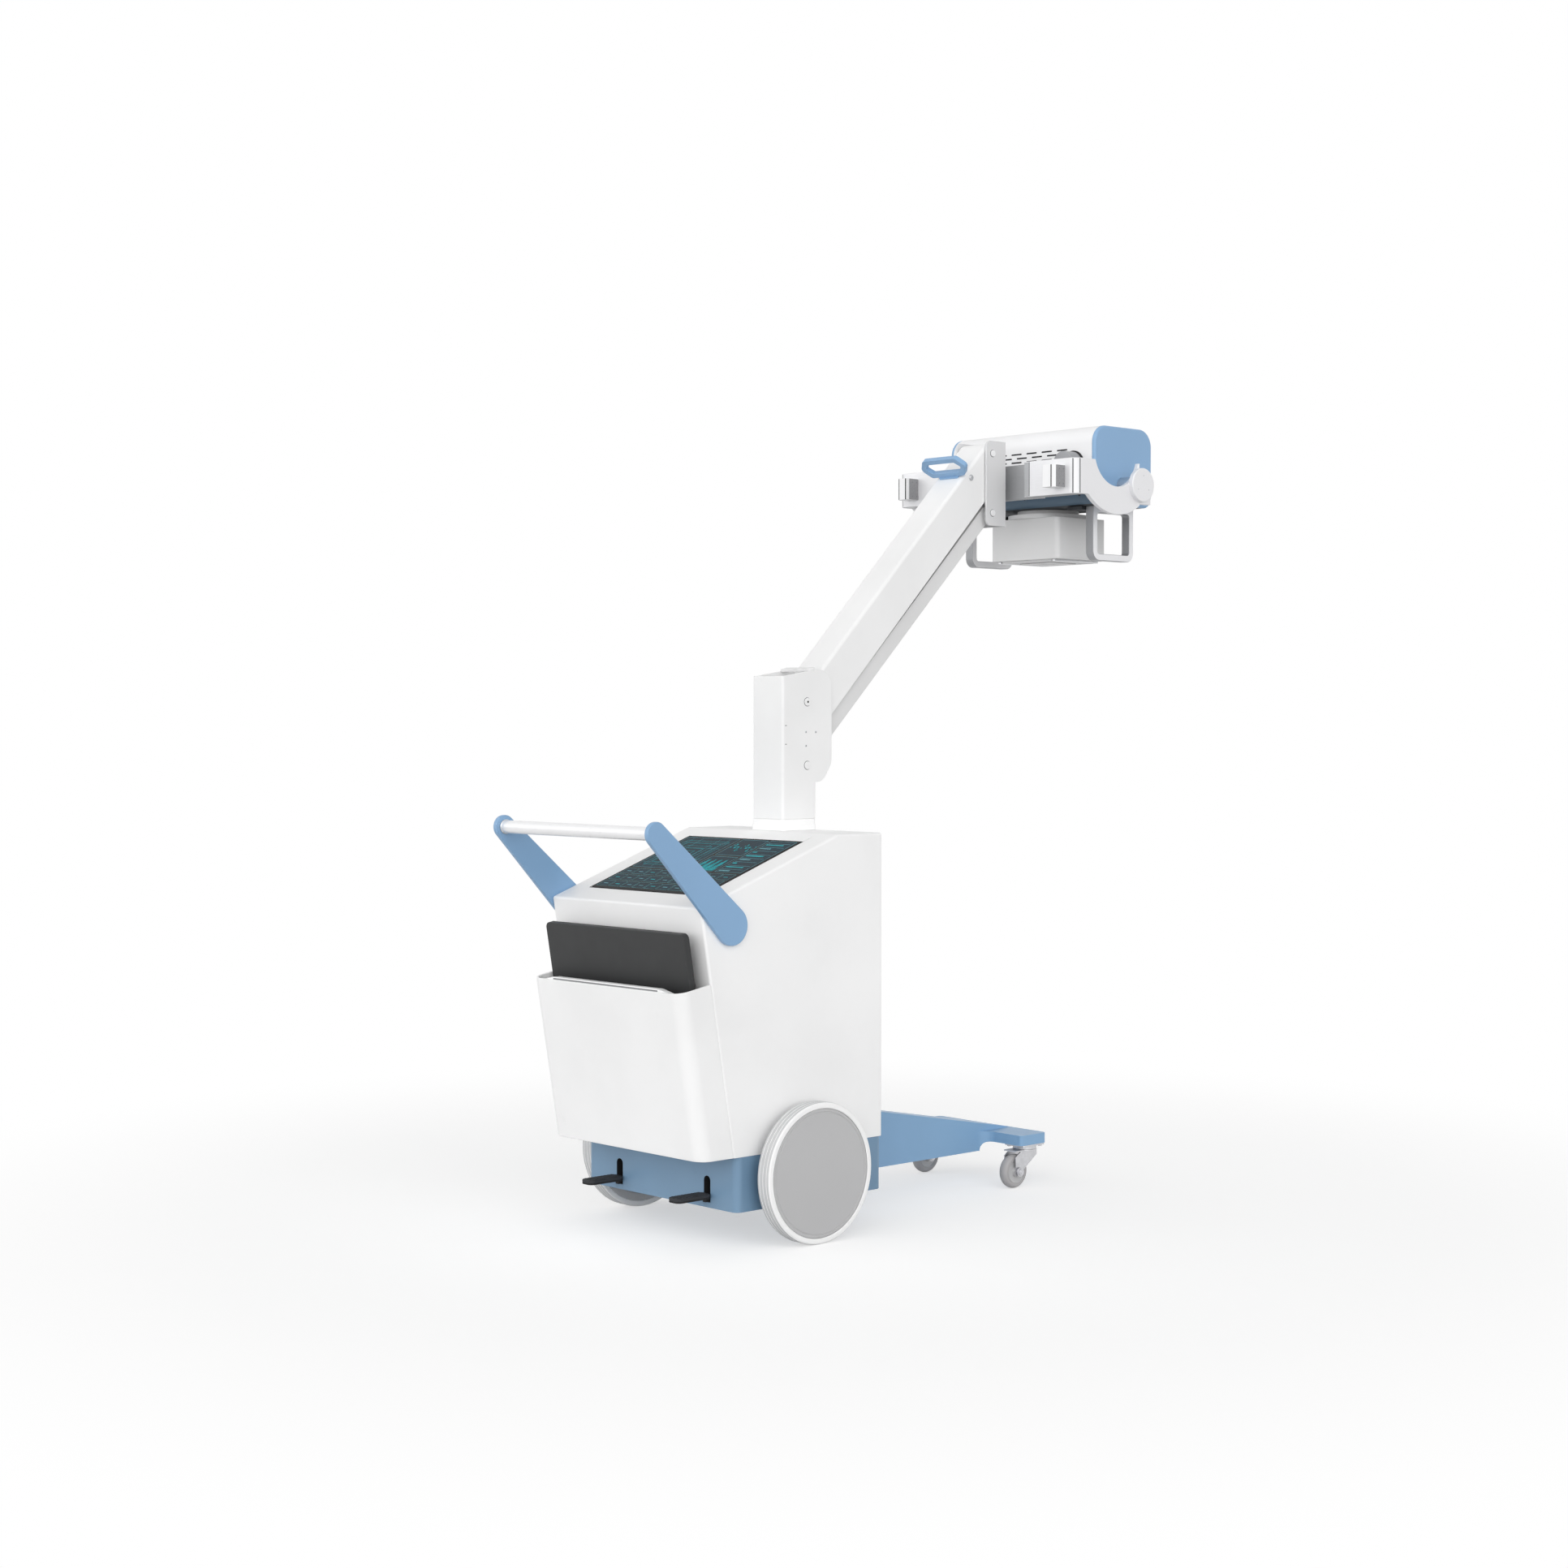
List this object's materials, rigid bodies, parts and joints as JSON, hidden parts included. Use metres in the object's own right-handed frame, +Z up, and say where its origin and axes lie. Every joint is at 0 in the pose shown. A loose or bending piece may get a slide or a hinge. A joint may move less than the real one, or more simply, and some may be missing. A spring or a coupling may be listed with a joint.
{
  "type": "mobile x-ray machine with a swivelling column and parallelogram arm",
  "caption": "Mobile x-ray machine: wheeled cabinet with slanted screen, rear detector bin, push handle, swivelling column, parallelogram arm and a forked, tilting tube head.",
  "frame": {"origin": "on the floor under the middle of the overall length and width", "axes": "+X is the driving direction, towards the casters and the tube head; +Y the machine's left side; +Z up"},
  "size_m": [1.608, 0.622, 1.8043],
  "materials": {
    "cabinet_white": "satin white powder coat",
    "arm_white": "satin white paint",
    "housing_white": "satin white moulded cover",
    "base_blue": "satin light blue paint",
    "trim_blue": "light blue moulding",
    "fork_silver": "satin silver grey paint",
    "handle_steel": "satin steel",
    "fork_steel": "satin zinc",
    "tyre_white": "pale grey rubber",
    "disc_grey": "matt grey",
    "caster_grey": "grey rubber",
    "panel_dark": "dark grey",
    "pad_black": "black ribbed rubber",
    "screen_glass": "glossy black glass front",
    "collimator_grey": "satin grey"
  },
  "bodies": {
    "chassis": {"base_frame": "base_blue", "pedal_levers": "handle_steel", "pedal_pads": "pad_black", "rear_axle": "fork_steel", "cabinet_shell": "cabinet_white", "touch_screen": "screen_glass", "detector_bin": "cabinet_white", "handle_arm_left": "trim_blue", "handle_arm_right": "trim_blue", "handle_tube": "handle_steel", "front_leg": "base_blue", "caster_plates": "fork_steel"},
    "wheel_left": {"tyre_left": "tyre_white", "wheel_disc_left": "disc_grey"},
    "wheel_right": {"tyre_right": "tyre_white", "wheel_disc_right": "disc_grey"},
    "caster_left": {"caster_fork_left": "fork_steel"},
    "caster_right": {"caster_fork_right": "fork_steel"},
    "caster_roller_left": {"caster_wheel_left": "caster_grey"},
    "caster_roller_right": {"caster_wheel_right": "caster_grey"},
    "detector_panel": {"detector": "panel_dark"},
    "column": {"column_collar": "arm_white", "column_post": "arm_white", "column_pins": "handle_steel"},
    "arm": {"arm_beam": "arm_white", "grab_ring": "trim_blue"},
    "link": {"lower_link": "arm_white"},
    "bracket": {"end_bracket": "arm_white", "tip_pins": "handle_steel"},
    "fork": {"head_fork": "fork_silver", "roll_bearing": "fork_steel", "release_blocks": "fork_silver", "lock_knobs": "fork_silver"},
    "tube_head": {"tube_cover": "housing_white", "tube_tray": "trim_blue", "end_caps": "trim_blue", "tilt_trunnions": "fork_steel", "cable_bosses": "collimator_grey", "loop_handle_left": "fork_silver", "loop_handle_right": "fork_silver"},
    "collimator": {"collimator_neck": "collimator_grey", "collimator_body": "collimator_grey", "accessory_rails": "fork_steel"}
  },
  "joints": [
    {"name": "rear_wheel_left", "type": "hinge", "parent": "chassis", "child": "wheel_left", "pos_m": [-0.37297, 0.292, 0.15], "axis": [0, 1, 0], "continuous": true},
    {"name": "rear_wheel_right", "type": "hinge", "parent": "chassis", "child": "wheel_right", "pos_m": [-0.37297, -0.292, 0.15], "axis": [0, 1, 0], "continuous": true},
    {"name": "caster_swivel_left", "type": "hinge", "parent": "chassis", "child": "caster_left", "pos_m": [0.45103, 0.144, 0.102], "axis": [0, 0, 1], "continuous": true},
    {"name": "caster_roll_left", "type": "hinge", "parent": "caster_left", "child": "caster_roller_left", "pos_m": [0.41103, 0.144, 0.04], "axis": [0, 1, 0], "continuous": true},
    {"name": "caster_swivel_right", "type": "hinge", "parent": "chassis", "child": "caster_right", "pos_m": [0.45103, -0.144, 0.102], "axis": [0, 0, 1], "continuous": true},
    {"name": "caster_roll_right", "type": "hinge", "parent": "caster_right", "child": "caster_roller_right", "pos_m": [0.41103, -0.144, 0.04], "axis": [0, 1, 0], "continuous": true},
    {"name": "detector_lift", "type": "slide", "parent": "chassis", "child": "detector_panel", "axis": [-0.1678, 0, 0.9858], "range_m": [0, 0.35]},
    {"name": "column_swivel", "type": "hinge", "parent": "chassis", "child": "column", "pos_m": [-0.19267, 0, 0.859], "axis": [0, 0, 1], "range_deg": [-90, 90]},
    {"name": "arm_lift", "type": "hinge", "parent": "column", "child": "arm", "pos_m": [-0.16827, 0, 1.1444], "axis": [0, -1, 0], "range_deg": [-65, 5]},
    {"name": "link_follow", "type": "hinge", "parent": "column", "child": "link", "pos_m": [-0.16827, 0, 1.0032], "axis": [0, -1, 0], "range_deg": [-65, 5]},
    {"name": "bracket_level", "type": "hinge", "parent": "arm", "child": "bracket", "pos_m": [0.43637, 0, 1.73754], "axis": [0, -1, 0], "range_deg": [-5, 65]},
    {"name": "head_roll", "type": "hinge", "parent": "bracket", "child": "fork", "pos_m": [0.48237, 0, 1.66694], "axis": [1, 0, 0], "range_deg": [-90, 90]},
    {"name": "head_tilt", "type": "hinge", "parent": "fork", "child": "tube_head", "pos_m": [0.69397, 0, 1.66234], "axis": [0, -1, 0], "range_deg": [-30, 90]},
    {"name": "collimator_turn", "type": "hinge", "parent": "tube_head", "child": "collimator", "pos_m": [0.69397, 0, 1.61534], "axis": [0, 0, 1], "range_deg": [-90, 90]}
  ],
  "couplings": [
    {"joint": "link_follow", "follows": "arm_lift", "ratio": 1},
    {"joint": "bracket_level", "follows": "arm_lift", "ratio": -1}
  ]
}
